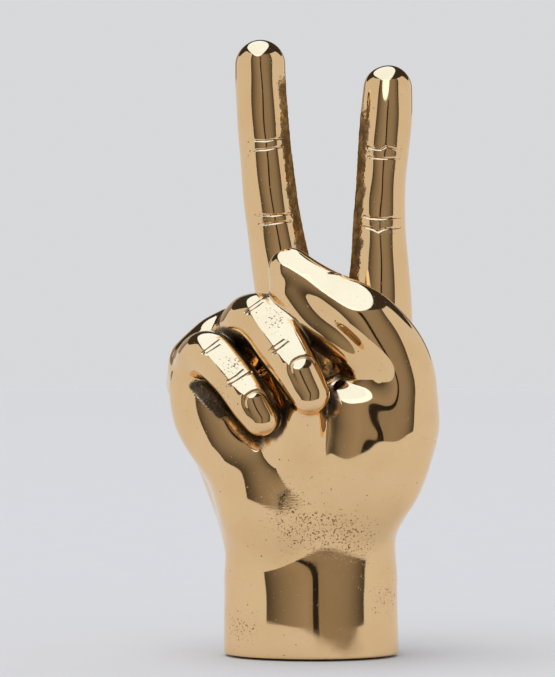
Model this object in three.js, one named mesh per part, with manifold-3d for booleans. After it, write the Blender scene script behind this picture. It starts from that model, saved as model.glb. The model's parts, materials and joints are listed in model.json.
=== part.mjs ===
// A polished brass hand that raises two fingers: hollow castings for the wrist and the palm, five cast
// digits brazed on over dowels, and a foot closed by a screwed plate with a felt pad.
// Millimetres, +Z up. The palm faces -Y and the thumb is on the +X side. The origin is the middle of
// the foot, level with the underside of the felt.
import * as THREE from "three";
import { mergeVertices } from "three/addons/utils/BufferGeometryUtils.js";
import Module from "manifold-3d";

// Wrist: an elliptic column that eases from the foot into the neck and rounds off inside the palm
const FOOT_HALF_WIDTH = 31.3;
const FOOT_HALF_DEPTH = 23;
const NECK_HALF_WIDTH = 30.4;
const NECK_HALF_DEPTH = 21.8;
const FLARE_HEIGHT = 12;
const NECK_HEIGHT = 40;
const COLUMN_HEIGHT = 26;
const RIM_HEIGHT = 0.8;

// Castings
const WALL = 4.5;
const FIT = 0.3;
const WRIST_SEAM_HEIGHT = 44;

// Heights that the palm lies between: the bones of the wrist and the knuckles
const CARPAL_HEIGHT = 40;
const KNUCKLE_HEIGHT = 106;

// Digits: each is a chain of balls that its skin wraps. It starts at a root inside the palm, and each
// bone leads on to the next ball: its length, its heading from straight ahead (-Y) towards the thumb
// side (+X) and its pitch above level, in degrees, and the radius of the ball at its far end.
// seam is the way along the digit from the root to the brazed seam, and blend the width of its fillet.
const bone = (length, heading, pitch, radius) => ({ length, heading, pitch, radius });
const ball = (x, y, z, radius) => new THREE.Vector4(x, y, z, radius);

const INDEX = {
  root: ball(22.8, 7, KNUCKLE_HEIGHT - 2, 14),
  bones: [
    bone(22, 100, 85, 12),
    bone(17, 90, 89, 10.3),
    bone(15, 0, 90, 9.4),
    bone(16, 60, 87, 9),
    bone(18, 70, 85, 9.4),
    bone(12.8, 162, 78, 8.8),
  ],
  seam: 28,
  blend: 8,
};
const MIDDLE = {
  root: ball(-3.2, 9, KNUCKLE_HEIGHT, 13),
  bones: [
    bone(22.5, -90, 77, 11.5),
    bone(18.5, -82, 79, 10.4),
    bone(17, -80, 81, 9.8),
    bone(19, -77, 84, 9.4),
    bone(18, -70, 85, 9.2),
    bone(13.5, -60, 88, 9),
  ],
  seam: 28,
  blend: 8,
};
const RING = {
  root: ball(-24.2, 10, KNUCKLE_HEIGHT + 1, 12.5),
  bones: [
    bone(17.5, 0, 25, 11.5),
    bone(13, 4, 27, 10.5),
    bone(6, 25, 0, 10.2),
    bone(17.3, 46, -38, 9),
    bone(10.6, 47, -46, 8.3),
    bone(9.2, 67, -56, 7.1),
  ],
  seam: 21,
  blend: 2.5,
};
const LITTLE = {
  root: ball(-39.6, 8, KNUCKLE_HEIGHT - 7.5, 12.2),
  bones: [
    bone(15, 2, 22, 10.6),
    bone(11, 8, 25, 9.5),
    bone(5, 25, 0, 9.1),
    bone(15.6, 46, -38, 8),
    bone(10, 49, -46, 7.4),
    bone(7.1, 69, -55, 6.4),
  ],
  seam: 18,
  blend: 2.5,
};
const THUMB = {
  root: ball(27.3, -16.5, KNUCKLE_HEIGHT - 22, 17),
  bones: [
    bone(19.5, 22, 70, 13.4),
    bone(16, -40, 55, 11.2),
    bone(12.8, -80, 41, 10.2),
    bone(10.8, -105, 29, 8.8),
    bone(15.8, -105, 34, 8),
  ],
  pad: [
    ball(20, -25, KNUCKLE_HEIGHT, 9),
    ball(13.5, -27.5, KNUCKLE_HEIGHT + 6.5, 9.3),
    ball(4, -26.5, KNUCKLE_HEIGHT + 13.5, 9.3),
    ball(-6, -24.5, KNUCKLE_HEIGHT + 24.5, 9),
  ],
  seam: 40,
  blend: 7,
};

// The pad is the thumb's fleshy underside. The flat is where the thumb's front was dressed down: a point
// on it and the way it faces.
const PAD_BLEND = 4;
const FLAT_PLACE = new THREE.Vector3(14.7, -38.7, KNUCKLE_HEIGHT + 22);
const FLAT_WAY = new THREE.Vector3(0.03, -0.865, 0.5).normalize();
const FLAT_BLEND = 2.5;

// Palm: a metacarpal runs from each of these balls at the wrist to the root of its finger
const INDEX_CARPAL = ball(13, 2, CARPAL_HEIGHT, 16);
const MIDDLE_CARPAL = ball(2.8, 3, CARPAL_HEIGHT - 4, 17);
const RING_CARPAL = ball(-4.2, 3, CARPAL_HEIGHT - 2, 17);
const LITTLE_CARPAL = ball(-12.7, 2, CARPAL_HEIGHT, 16.3);
const METACARPAL_BLEND = 14;

// Palm: the knuckles, which stand out on the back of the hand
const KNUCKLES = [
  ball(22.8, 14.5, KNUCKLE_HEIGHT - 3, 9),
  ball(-3.2, 16, KNUCKLE_HEIGHT, 9),
  ball(-24.2, 16.5, KNUCKLE_HEIGHT + 2, 8.8),
  ball(-39.8, 14, KNUCKLE_HEIGHT - 6, 8.5),
];
const KNUCKLE_BLEND = 8;

// Palm: cushions in front of the metacarpals; the thenar one runs on into the root of the thumb
const THENAR = [
  ball(11, -2, CARPAL_HEIGHT + 5, 13.5),
  ball(25.5, -14, KNUCKLE_HEIGHT - 34, 17),
];
const HYPOTHENAR = [
  ball(-12, -2, CARPAL_HEIGHT + 5, 13.5),
  ball(-17, -9.5, KNUCKLE_HEIGHT - 54, 14.5),
  ball(-22.5, -11, KNUCKLE_HEIGHT - 38, 14.5),
  ball(-35.7, -8.5, KNUCKLE_HEIGHT - 18, 13.8),
];
const HEEL = [
  ball(-9, -2, CARPAL_HEIGHT + 5, 13.5),
  ball(-9.5, -11.2, KNUCKLE_HEIGHT - 55, 14.5),
  ball(-12.5, -14, KNUCKLE_HEIGHT - 39, 14.5),
];
const CUSHION_BLEND = 12;

// Palm: the fold that the curled fingertips press up, and the mound inside the thumb
const PALM_FOLD = [
  ball(-3, -4, CARPAL_HEIGHT + 3, 15),
  ball(-5, -17.5, KNUCKLE_HEIGHT - 36, 14),
  ball(-2.5, -33, KNUCKLE_HEIGHT - 17, 7),
];
const THUMB_MOUND = [
  ball(7, -3, CARPAL_HEIGHT + 5, 13.5),
  ball(12.5, -16.8, KNUCKLE_HEIGHT - 32.5, 15.5),
  ball(14.5, -18.5, KNUCKLE_HEIGHT - 20, 16.5),
];
const FOLD_BLEND = 4;

// Dowels across the digits' seams
const DOWEL_DIAMETER = 6;
const DOWEL_LENGTH = 18;
const DOWEL_CHAMFER = 0.6;
const BOSS_WALL = 4;

// Collar inside the wrist seam, in a bored land of both castings
const COLLAR_HEIGHT = 16;
const COLLAR_WALL = 3;
const LAND_WALL = 8;
const LAND_MARGIN = 3;

// Foot
const FELT_THICKNESS = 1.5;
const PLATE_THICKNESS = 3;
const RIM_WIDTH = 3;
const SCREW_COUNT = 3;
const SCREW_DIAMETER = 4;
const SCREW_LENGTH = 12;
const SCREW_HEAD_DIAMETER = 8;
const SCREW_RECESS = 0.2;
const SLOT_WIDTH = 1.2;
const SLOT_DEPTH = 0.9;
const LUG_RADIUS = 5;
const LUG_CAP = 3;
const LUG_BITE = 1;

// Fineness of the faceted skins and of round pieces
const DIGIT_CELL = 3.4;
const PALM_CELL = 4.6;
const CAVITY_CELL = 7;
const CHAIN_STEPS = 6;
const ROUND_SEGMENTS = 16;
const ELLIPSE_SEGMENTS = 20;
const SHORTEST_EDGE = 0.08;
const WELD_DISTANCE = 1e-4;
const SETTLE_PASSES = 3;
const SLOPE_REACH = 0.05;
const LEAST_SLOPE_SQUARE = 0.25;

// Room that cutters need beyond what they cut
const CLEAR = 6;

const wasm = await Module();
wasm.setup();

// Solids

function solid(geometry) {
  geometry.deleteAttribute("normal");
  geometry.deleteAttribute("uv");
  const merged = mergeVertices(geometry, WELD_DISTANCE);
  return new wasm.Manifold(new wasm.Mesh({
    numProp: 3,
    vertProperties: new Float32Array(merged.attributes.position.array),
    triVerts: new Uint32Array(merged.index.array),
  }));
}

// Joins the ends of edges that cuts left too short to matter, where the surface stays closed.
function withoutShortEdges(points, faces) {
  const around = points.map(() => new Set());
  for (const face of faces) {
    for (const corner of face) face.forEach((other) => around[corner].add(other));
  }
  const joined = new Map();
  const settled = new Set();
  for (const face of faces) {
    face.forEach((a, n) => {
      const b = face[(n + 1) % 3];
      if (settled.has(a) || settled.has(b) || points[a].distanceTo(points[b]) > SHORTEST_EDGE) return;
      const shared = [...around[a]].filter((other) => other !== a && other !== b && around[b].has(other));
      if (shared.length !== 2) return;
      joined.set(b, a);
      for (const near of [...around[a], ...around[b]]) settled.add(near);
    });
  }
  if (joined.size === 0) return faces;
  const kept = faces
    .map((face) => face.map((corner) => joined.get(corner) ?? corner))
    .filter(([a, b, c]) => a !== b && b !== c && c !== a);
  return withoutShortEdges(points, kept);
}

function geometryOf(body) {
  const { vertProperties, triVerts, numProp } = body.getMesh();
  const points = [];
  for (let at = 0; at < vertProperties.length; at += numProp) {
    points.push(new THREE.Vector3().fromArray(vertProperties, at));
  }
  const faces = [];
  for (let at = 0; at < triVerts.length; at += 3) faces.push([...triVerts.slice(at, at + 3)]);
  const geometry = new THREE.BufferGeometry().setFromPoints(points);
  geometry.setIndex(withoutShortEdges(points, faces).flat());
  geometry.computeVertexNormals();
  return geometry;
}

const UP = new THREE.Vector3(0, 0, 1);

// Turns a shape made along +Z to lie along a direction, with its own origin at a point.
function aimed(geometry, point, direction) {
  geometry.applyQuaternion(new THREE.Quaternion().setFromUnitVectors(UP, direction));
  return geometry.translate(point.x, point.y, point.z);
}

function box(width, depth, bottom, top) {
  return new THREE.BoxGeometry(width, depth, top - bottom).translate(0, 0, (bottom + top) / 2);
}

function cylinder(radius, bottom, top) {
  const geometry = new THREE.CylinderGeometry(radius, radius, top - bottom, ROUND_SEGMENTS);
  return geometry.rotateX(Math.PI / 2).translate(0, 0, (bottom + top) / 2);
}

// A turned piece along +Z from its profile of [radius, height] points, which starts and ends on the axis.
function turned(profile) {
  const points = profile.map(([radius, height]) => new THREE.Vector2(radius, height));
  return new THREE.LatheGeometry(points, ROUND_SEGMENTS).rotateX(Math.PI / 2);
}

// An elliptic disc, or a ring where inner half axes are given.
function ellipse(halfWidth, halfDepth, bottom, top, hole) {
  const shape = new THREE.Shape();
  shape.absellipse(0, 0, halfWidth, halfDepth, 0, 2 * Math.PI);
  if (hole) {
    const inner = new THREE.Path();
    inner.absellipse(0, 0, hole.halfWidth, hole.halfDepth, 0, 2 * Math.PI);
    shape.holes.push(inner);
  }
  const settings = { depth: top - bottom, bevelEnabled: false, curveSegments: ELLIPSE_SEGMENTS };
  return new THREE.ExtrudeGeometry(shape, settings).translate(0, 0, bottom);
}

// Distance fields

// How far a fillet of the given width fills the corner that it rounds.
const filletRise = (width) => width / 6;

// Joins two distances with a fillet of the given width.
function blend(a, b, width) {
  const overlap = Math.max(width - Math.abs(a - b), 0) / width;
  return Math.min(a, b) - overlap ** 3 * filletRise(width);
}

// The balls of a digit, its root first.
function ballsOf({ root, bones }) {
  const balls = [root];
  for (const { length, heading, pitch, radius } of bones) {
    const turn = THREE.MathUtils.degToRad(heading);
    const rise = THREE.MathUtils.degToRad(pitch);
    const last = balls.at(-1);
    balls.push(ball(
      last.x + length * Math.cos(rise) * Math.sin(turn),
      last.y - length * Math.cos(rise) * Math.cos(turn),
      last.z + length * Math.sin(rise),
      radius,
    ));
  }
  return balls;
}

// More balls on a smooth curve through the given ones, in their radius too.
function smoothChain(balls) {
  const before = balls[0].clone().multiplyScalar(2).sub(balls[1]);
  const after = balls.at(-1).clone().multiplyScalar(2).sub(balls.at(-2));
  const knots = [before, ...balls, after];
  const chain = [];
  for (let i = 1; i < knots.length - 2; i += 1) {
    const [a, b, c, d] = knots.slice(i - 1, i + 3).map((knot) => knot.toArray());
    for (let step = 0; step < CHAIN_STEPS; step += 1) {
      const t = step / CHAIN_STEPS;
      const mix = (n) => b[n] + 0.5 * t * (c[n] - a[n]
        + t * (2 * a[n] - 5 * b[n] + 4 * c[n] - d[n] + t * (3 * (b[n] - c[n]) + d[n] - a[n])));
      chain.push(ball(mix(0), mix(1), mix(2), mix(3)));
    }
  }
  chain.push(balls.at(-1));
  return chain;
}

// Distance from the skin over a chain of balls.
function chainField(chain) {
  const links = chain.slice(1).map((far, i) => {
    const near = chain[i];
    const step = far.clone().sub(near);
    return { near, step, square: step.x ** 2 + step.y ** 2 + step.z ** 2 };
  });
  return (x, y, z) => {
    let nearest = Infinity;
    for (const { near, step, square } of links) {
      const dx = x - near.x;
      const dy = y - near.y;
      const dz = z - near.z;
      const along = (dx * step.x + dy * step.y + dz * step.z) / square;
      const t = Math.min(Math.max(along, 0), 1);
      const gap = Math.hypot(dx - t * step.x, dy - t * step.y, dz - t * step.z);
      nearest = Math.min(nearest, gap - near.w - t * step.w);
    }
    return nearest;
  };
}

function wristField(x, y, z) {
  const flare = 1 - THREE.MathUtils.smoothstep(z, FLARE_HEIGHT, NECK_HEIGHT);
  const halfWidth = THREE.MathUtils.lerp(NECK_HALF_WIDTH, FOOT_HALF_WIDTH, flare);
  const halfDepth = THREE.MathUtils.lerp(NECK_HALF_DEPTH, FOOT_HALF_DEPTH, flare);
  const u = x / halfWidth;
  const v = y / halfDepth;
  const w = Math.max(z - COLUMN_HEIGHT, 0) / halfDepth;
  const reach = Math.hypot(u, v, w);
  const slope = Math.hypot(u / halfWidth, v / halfDepth, w / halfDepth);
  return reach > 0 ? (reach * (reach - 1)) / slope : -halfDepth;
}

const metacarpals = [
  [INDEX_CARPAL, INDEX.root],
  [MIDDLE_CARPAL, MIDDLE.root],
  [RING_CARPAL, RING.root],
  [LITTLE_CARPAL, LITTLE.root],
].map(chainField);
const knuckles = KNUCKLES.map((knuckle) => (x, y, z) => (
  Math.hypot(x - knuckle.x, y - knuckle.y, z - knuckle.z) - knuckle.w));
const cushions = [[...THENAR, THUMB.root], THUMB_MOUND, HYPOTHENAR, HEEL]
  .map((balls) => chainField(smoothChain(balls)));
const foldField = chainField(smoothChain(PALM_FOLD));

// The wrist and the palm without digits.
function coreField(x, y, z) {
  let distance = wristField(x, y, z);
  for (const field of metacarpals) distance = blend(distance, field(x, y, z), METACARPAL_BLEND);
  for (const field of knuckles) distance = blend(distance, field(x, y, z), KNUCKLE_BLEND);
  for (const field of cushions) distance = blend(distance, field(x, y, z), CUSHION_BLEND);
  return blend(distance, foldField(x, y, z), FOLD_BLEND);
}

// Moves a point along the slope of a field onto its surface.
function settle(field, point) {
  const near = SLOPE_REACH;
  for (let pass = 0; pass < SETTLE_PASSES; pass += 1) {
    const { x, y, z } = point;
    const slope = new THREE.Vector3(
      field(x + near, y, z) - field(x - near, y, z),
      field(x, y + near, z) - field(x, y - near, z),
      field(x, y, z + near) - field(x, y, z - near),
    ).divideScalar(2 * near);
    point.addScaledVector(slope, -field(x, y, z) / Math.max(slope.lengthSq(), LEAST_SLOPE_SQUARE));
  }
  return point;
}

// A grid cell: its corners are numbered by the bits of their place, its edges run between two corners
// along an axis, and its faces list the edges that lie in them.
const CORNERS = [0, 1, 2, 3, 4, 5, 6, 7].map((n) => [n & 1, (n >> 1) & 1, n >> 2]);
const AXES = [0, 1, 2];
const EDGES = CORNERS.flatMap((place, from) => AXES
  .filter((axis) => place[axis] === 0)
  .map((axis) => ({ from, to: from | (1 << axis), axis })));
const FACES = AXES.flatMap((axis) => [0, 1].map((side) => EDGES
  .filter(({ from, to }) => CORNERS[from][axis] === side && CORNERS[to][axis] === side)));
const edgeFrom = (corner, axis) => EDGES.findIndex((edge) => edge.from === corner && edge.axis === axis);

// Sorts the cut edges of a cell into the separate sheets of surface that pass through it. Where a face is
// cut four times, the two cuts beside a corner inside the body belong to one sheet.
function sheetsOf(cut, inside) {
  const sheets = new Map(cut.map((edge) => [edge, [edge]]));
  const join = (a, b) => {
    if (sheets.get(a) === sheets.get(b)) return;
    const together = [...sheets.get(a), ...sheets.get(b)];
    together.forEach((edge) => sheets.set(edge, together));
  };
  for (const face of FACES) {
    const found = face.filter((edge) => sheets.has(edge));
    if (found.length === 2) join(...found);
    if (found.length < 4) continue;
    inside.forEach((isInside, corner) => {
      const beside = found.filter(({ from, to }) => from === corner || to === corner);
      if (isInside && beside.length === 2) join(...beside);
    });
  }
  return new Set(sheets.values());
}

// The surface where a field is zero inside a box, as a closed net: a vertex for each sheet in each grid
// cell that the surface passes through, and one four-sided face across each grid edge that it cuts.
function skin(field, bounds, cell) {
  const size = bounds.getSize(new THREE.Vector3());
  const counts = size.toArray().map((length) => Math.ceil(length / cell) + 1);
  const strides = [1, counts[0], counts[0] * counts[1]];
  const offsets = CORNERS.map((corner) => corner.reduce((sum, side, axis) => sum + side * strides[axis], 0));
  const place = (i, j, k) => new THREE.Vector3(i, j, k).multiplyScalar(cell).add(bounds.min);
  const grid = [];
  const levels = [];
  for (let k = 0; k < counts[2]; k += 1) {
    for (let j = 0; j < counts[1]; j += 1) {
      for (let i = 0; i < counts[0]; i += 1) {
        grid.push([i, j, k]);
        levels.push(field(...place(i, j, k).toArray()));
      }
    }
  }

  const positions = [];
  const vertexAt = new Map();
  const key = (at, edge) => at * EDGES.length + edge;
  grid.forEach(([i, j, k], at) => {
    if (i === counts[0] - 1 || j === counts[1] - 1 || k === counts[2] - 1) return;
    const inside = offsets.map((offset) => levels[at + offset] < 0);
    const cut = EDGES.filter(({ from, to }) => inside[from] !== inside[to]);
    for (const sheet of sheetsOf(cut, inside)) {
      const middle = new THREE.Vector3();
      for (const { from, to, axis } of sheet) {
        const a = levels[at + offsets[from]];
        const b = levels[at + offsets[to]];
        const crossing = new THREE.Vector3(...CORNERS[from]).setComponent(axis, a / (a - b));
        middle.addScaledVector(crossing, 1 / sheet.length);
        vertexAt.set(key(at, edgeFrom(from, axis)), positions.length);
      }
      positions.push(settle(field, place(i + middle.x, j + middle.y, k + middle.z)));
    }
  });

  const triangles = [];
  grid.forEach((point, at) => {
    for (const axis of AXES) {
      const inside = levels[at] < 0;
      if (point[axis] === counts[axis] - 1 || inside === levels[at + strides[axis]] < 0) continue;
      const right = 1 << ((axis + 1) % 3);
      const up = 1 << ((axis + 2) % 3);
      const quad = [0, right, right | up, up]
        .map((corner) => vertexAt.get(key(at - offsets[corner], edgeFrom(corner, axis))));
      if (!inside) quad.reverse();
      const [a, b, c, d] = quad;
      const short = positions[a].distanceTo(positions[c]) < positions[b].distanceTo(positions[d]);
      triangles.push(...(short ? [a, b, c, a, c, d] : [a, b, d, b, c, d]));
    }
  });
  return new THREE.BufferGeometry().setFromPoints(positions).setIndex(triangles);
}

function boundsOf(chain, margin) {
  const bounds = new THREE.Box3();
  for (const { x, y, z, w } of chain) {
    const centre = new THREE.Vector3(x, y, z);
    bounds.union(new THREE.Box3(centre.clone().subScalar(w), centre.clone().addScalar(w)));
  }
  return bounds.expandByScalar(margin);
}

// Digits

// Distance from a digit: its chain and, where it has a pad, that too, both dressed to the flat.
function digitField(chain, pad) {
  const field = chainField(chain);
  if (pad.length === 0) return field;
  const padField = chainField(smoothChain(pad));
  return (x, y, z) => {
    const round = blend(field(x, y, z), padField(x, y, z), PAD_BLEND);
    const flat = FLAT_WAY.dot(new THREE.Vector3(x, y, z).sub(FLAT_PLACE));
    return -blend(-round, -flat, FLAT_BLEND);
  };
}

// Splits a digit at its seam: the stub that stays on the palm and the cast digit beyond it.
function splitDigit({ pad = [], ...digit }) {
  const chain = smoothChain(ballsOf(digit));
  let travelled = 0;
  let at = 0;
  while (travelled < digit.seam) {
    const step = chain[at + 1].clone().sub(chain[at]);
    travelled += Math.hypot(step.x, step.y, step.z);
    at += 1;
  }
  const { x, y, z } = chain[at];
  const next = chain[at + 1];
  const normal = new THREE.Vector3(next.x - x, next.y - y, next.z - z).normalize();
  const stubChain = chain.slice(0, at + 2);
  const castChain = chain.slice(at - 1);
  return {
    stubBalls: [...stubChain, ...pad],
    stubField: digitField(stubChain, pad),
    castBalls: [...castChain, ...pad],
    castField: digitField(castChain, pad),
    seam: { point: new THREE.Vector3(x, y, z), normal },
    blend: digit.blend,
  };
}

// The digit beyond its seam, grown all round; start is the way from the seam to its flat end.
function castDigit({ castBalls, castField, seam }, grow, start) {
  const grown = (x, y, z) => castField(x, y, z) - grow;
  const bounds = boundsOf(castBalls, grow + DIGIT_CELL);
  const span = 2 * bounds.getSize(new THREE.Vector3()).length();
  const behind = box(span, span, start - span, start);
  return solid(skin(grown, bounds, DIGIT_CELL)).subtract(solid(aimed(behind, seam.point, seam.normal)));
}

const index = splitDigit(INDEX);
const middle = splitDigit(MIDDLE);
const ring = splitDigit(RING);
const little = splitDigit(LITTLE);
const thumb = splitDigit(THUMB);
const digits = [index, middle, thumb, ring, little];

function dowelBore({ point, normal }) {
  const half = DOWEL_LENGTH / 2 + FIT;
  return solid(aimed(cylinder(DOWEL_DIAMETER / 2 + FIT, -half, half), point, normal));
}

// Castings of the wrist and the palm

function palmField(x, y, z) {
  let distance = coreField(x, y, z);
  for (const digit of digits) distance = blend(distance, digit.stubField(x, y, z), digit.blend);
  return Math.max(distance, -CLEAR - z);
}

const foot = ball(0, 0, 0, Math.max(FOOT_HALF_WIDTH, FOOT_HALF_DEPTH));
const neck = ball(0, 0, NECK_HEIGHT, Math.max(NECK_HALF_WIDTH, NECK_HALF_DEPTH));
const palmBalls = [...KNUCKLES, ...THENAR, ...THUMB_MOUND, ...HYPOTHENAR, ...HEEL, ...PALM_FOLD];
const rootBalls = digits.flatMap(({ stubBalls }) => stubBalls);
const handBounds = boundsOf([foot, neck, ...palmBalls, ...rootBalls], 2 * CLEAR);
handBounds.min.z = -2 * CLEAR;

const bore = { halfWidth: NECK_HALF_WIDTH - LAND_WALL, halfDepth: NECK_HALF_DEPTH - LAND_WALL };

// The core that leaves the castings hollow: it spares a boss behind each dowel, narrows to the collar's
// bore inside the wrist seam, and runs out through the foot.
function hollowCore() {
  const inner = (x, y, z) => Math.max(coreField(x, y, z) + WALL, -CLEAR - z);
  let core = solid(skin(inner, handBounds, CAVITY_CELL));
  for (const { seam } of digits) {
    const depth = DOWEL_LENGTH / 2 + FIT + BOSS_WALL;
    const boss = cylinder(DOWEL_DIAMETER / 2 + FIT + BOSS_WALL, -depth, CLEAR);
    core = core.subtract(solid(aimed(boss, seam.point, seam.normal)));
  }
  const low = WRIST_SEAM_HEIGHT - COLLAR_HEIGHT / 2 - FIT;
  const high = WRIST_SEAM_HEIGHT + COLLAR_HEIGHT / 2 + FIT;
  const span = 4 * FOOT_HALF_WIDTH;
  core = core.subtract(solid(box(span, span, low - LAND_MARGIN, high + LAND_MARGIN)));
  const throat = ellipse(
    bore.halfWidth - COLLAR_WALL,
    bore.halfDepth - COLLAR_WALL,
    low - LAND_MARGIN - CLEAR,
    high + LAND_MARGIN + CLEAR,
  );
  return core.add(solid(throat)).add(solid(ellipse(bore.halfWidth, bore.halfDepth, low, high)));
}

const shell = solid(skin(palmField, handBounds, PALM_CELL)).subtract(hollowCore());
const farSpan = 2 * handBounds.getSize(new THREE.Vector3()).length();

function palmSection() {
  const above = box(farSpan, farSpan, WRIST_SEAM_HEIGHT + FIT / 2, farSpan);
  let palm = shell.intersect(solid(above));
  for (const digit of digits) {
    palm = palm.subtract(castDigit(digit, filletRise(digit.blend) + FIT, -FIT / 2));
    palm = palm.subtract(dowelBore(digit.seam));
  }
  return palm;
}

// A digit as it is fitted, cut clear of the ones that it lies against.
function fittedDigit(digit, ...neighbours) {
  let cast = castDigit(digit, 0, FIT / 2).subtract(dowelBore(digit.seam));
  for (const neighbour of neighbours) cast = cast.subtract(castDigit(neighbour, FIT, FIT / 2));
  return cast;
}

// Foot

const plateBottom = FELT_THICKNESS;
const plateTop = plateBottom + PLATE_THICKNESS;
const rebate = { halfWidth: FOOT_HALF_WIDTH - RIM_WIDTH, halfDepth: FOOT_HALF_DEPTH - RIM_WIDTH };
const lugInset = WALL + LUG_RADIUS - LUG_BITE;
const lugTop = plateBottom + SCREW_RECESS + SCREW_LENGTH + FIT + LUG_CAP;
const screwHeadHeight = (SCREW_HEAD_DIAMETER - SCREW_DIAMETER) / 2;
const screwPlaces = Array.from({ length: SCREW_COUNT }, (none, n) => {
  const angle = Math.PI / 2 + (2 * Math.PI * n) / SCREW_COUNT;
  const x = (FOOT_HALF_WIDTH - lugInset) * Math.cos(angle);
  const y = (FOOT_HALF_DEPTH - lugInset) * Math.sin(angle);
  return new THREE.Vector3(x, y, plateBottom + SCREW_RECESS);
});

// A countersunk screw with its head at the bottom, grown all round for a hole that clears it.
function screwBody(grow, below) {
  return turned([
    [0, -below],
    [SCREW_HEAD_DIAMETER / 2 + grow, -below],
    [SCREW_HEAD_DIAMETER / 2 + grow, grow],
    [SCREW_DIAMETER / 2 + grow, screwHeadHeight + grow],
    [SCREW_DIAMETER / 2 + grow, SCREW_LENGTH + grow],
    [0, SCREW_LENGTH + grow],
  ]);
}

function screwHole({ x, y, z }) {
  return solid(screwBody(FIT, CLEAR).translate(x, y, z));
}

function wristSection() {
  let wrist = shell.intersect(solid(box(farSpan, farSpan, RIM_HEIGHT, WRIST_SEAM_HEIGHT - FIT / 2)));
  for (const { x, y } of screwPlaces) {
    wrist = wrist.add(solid(cylinder(LUG_RADIUS, RIM_HEIGHT, lugTop).translate(x, y, 0)));
  }
  wrist = wrist.subtract(solid(ellipse(rebate.halfWidth, rebate.halfDepth, -CLEAR, plateTop)));
  for (const place of screwPlaces) wrist = wrist.subtract(screwHole(place));
  return wrist;
}

function basePlate() {
  const disc = ellipse(rebate.halfWidth - FIT, rebate.halfDepth - FIT, plateBottom, plateTop);
  return screwPlaces.reduce((plate, place) => plate.subtract(screwHole(place)), solid(disc));
}

function baseScrew() {
  const slot = box(SCREW_HEAD_DIAMETER + CLEAR, SLOT_WIDTH, -CLEAR, SLOT_DEPTH);
  return solid(screwBody(0, 0)).subtract(solid(slot));
}

// Assembly

const brass = { color: 0xd9b27e, roughness: 0.12, metalness: 1 };
const drawnBrass = { color: 0xc9a468, roughness: 0.35, metalness: 1 };
const steel = { color: 0xb8bcc0, roughness: 0.35, metalness: 1 };
const felt = { color: 0x1c1b1a, roughness: 0.95, metalness: 0 };

const hand = new THREE.Group();

function addMesh(name, geometry, finish) {
  const mesh = new THREE.Mesh(geometry, new THREE.MeshStandardMaterial(finish));
  mesh.name = name;
  hand.add(mesh);
  return mesh;
}

addMesh("wrist_section", geometryOf(wristSection()), brass);
addMesh("palm_section", geometryOf(palmSection()), brass);
addMesh("index_finger", geometryOf(fittedDigit(index)), brass);
addMesh("middle_finger", geometryOf(fittedDigit(middle, index)), brass);
addMesh("ring_finger", geometryOf(fittedDigit(ring)), brass);
addMesh("little_finger", geometryOf(fittedDigit(little, ring)), brass);
addMesh("thumb", geometryOf(fittedDigit(thumb, ring, little, index, middle)), brass);

const dowelEnd = DOWEL_LENGTH / 2;
const dowelRadius = DOWEL_DIAMETER / 2;
const dowel = turned([
  [0, -dowelEnd],
  [dowelRadius - DOWEL_CHAMFER, -dowelEnd],
  [dowelRadius, DOWEL_CHAMFER - dowelEnd],
  [dowelRadius, dowelEnd - DOWEL_CHAMFER],
  [dowelRadius - DOWEL_CHAMFER, dowelEnd],
  [0, dowelEnd],
]);
for (const [name, { seam }] of Object.entries({ index, middle, ring, little, thumb })) {
  const mesh = addMesh(`${name}_dowel`, dowel.clone(), drawnBrass);
  mesh.position.copy(seam.point);
  mesh.quaternion.setFromUnitVectors(UP, seam.normal);
}

addMesh("wrist_collar", ellipse(
  bore.halfWidth - FIT,
  bore.halfDepth - FIT,
  WRIST_SEAM_HEIGHT - COLLAR_HEIGHT / 2,
  WRIST_SEAM_HEIGHT + COLLAR_HEIGHT / 2,
  { halfWidth: bore.halfWidth - COLLAR_WALL, halfDepth: bore.halfDepth - COLLAR_WALL },
), drawnBrass);
addMesh("base_plate", geometryOf(basePlate()), drawnBrass);
screwPlaces.forEach((place, n) => {
  addMesh(`base_screw_${n + 1}`, geometryOf(baseScrew()), steel).position.copy(place);
});
addMesh("felt_pad", ellipse(rebate.halfWidth - FIT, rebate.halfDepth - FIT, 0, FELT_THICKNESS), felt);

export default hand;
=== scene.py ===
"""A polished brass hand that raises two fingers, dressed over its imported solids.

Distances of the hand itself are in millimetres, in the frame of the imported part: +Z up, the palm facing
-Y, the thumb on the +X side. They become metres where a mesh is made.
"""
import json
import math

import bpy
import numpy as np
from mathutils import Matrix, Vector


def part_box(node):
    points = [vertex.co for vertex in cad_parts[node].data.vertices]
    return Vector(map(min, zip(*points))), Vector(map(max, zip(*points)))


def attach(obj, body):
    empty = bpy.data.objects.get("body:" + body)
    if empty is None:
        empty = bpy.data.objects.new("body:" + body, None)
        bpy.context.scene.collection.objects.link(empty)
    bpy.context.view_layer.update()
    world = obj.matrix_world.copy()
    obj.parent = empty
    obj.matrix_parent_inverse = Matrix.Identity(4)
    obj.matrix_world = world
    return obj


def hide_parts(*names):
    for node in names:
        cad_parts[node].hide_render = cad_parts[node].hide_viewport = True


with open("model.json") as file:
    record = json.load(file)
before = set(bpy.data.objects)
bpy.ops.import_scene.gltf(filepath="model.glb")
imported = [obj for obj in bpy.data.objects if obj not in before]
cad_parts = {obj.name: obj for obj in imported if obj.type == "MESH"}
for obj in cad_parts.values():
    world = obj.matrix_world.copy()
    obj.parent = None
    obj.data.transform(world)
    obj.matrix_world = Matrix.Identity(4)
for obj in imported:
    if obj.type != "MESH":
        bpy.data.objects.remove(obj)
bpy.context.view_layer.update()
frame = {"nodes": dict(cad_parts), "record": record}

MM = 0.001

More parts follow.
